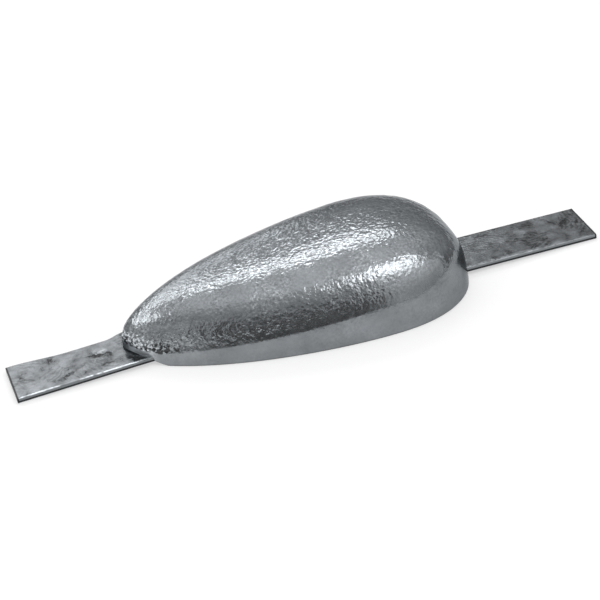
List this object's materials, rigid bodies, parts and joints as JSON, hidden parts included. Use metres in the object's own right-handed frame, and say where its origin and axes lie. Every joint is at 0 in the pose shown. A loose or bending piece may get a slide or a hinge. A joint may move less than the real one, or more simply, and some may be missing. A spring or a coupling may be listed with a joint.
{
  "type": "sacrificial anode",
  "caption": "Pear-shaped zinc hull anode cast round a flat galvanised steel strap whose bare ends are welded to the hull.",
  "frame": {"origin": "middle of the strap's length and width, in the hull plane under the flat back", "axes": "+X along the strap towards the blunt end of the casting, +Y across it, +Z away from the hull"},
  "size_m": [0.3202, 0.1, 0.042],
  "materials": {
    "zinc": "as-cast zinc, dull grey, orange-peel skin with a smooth lower skirt",
    "galvanised_steel": "hot-dip galvanised, spangled and weathered"
  },
  "bodies": {
    "root": {"anode_body": "zinc", "steel_strap": "galvanised_steel"}
  },
  "joints": []
}
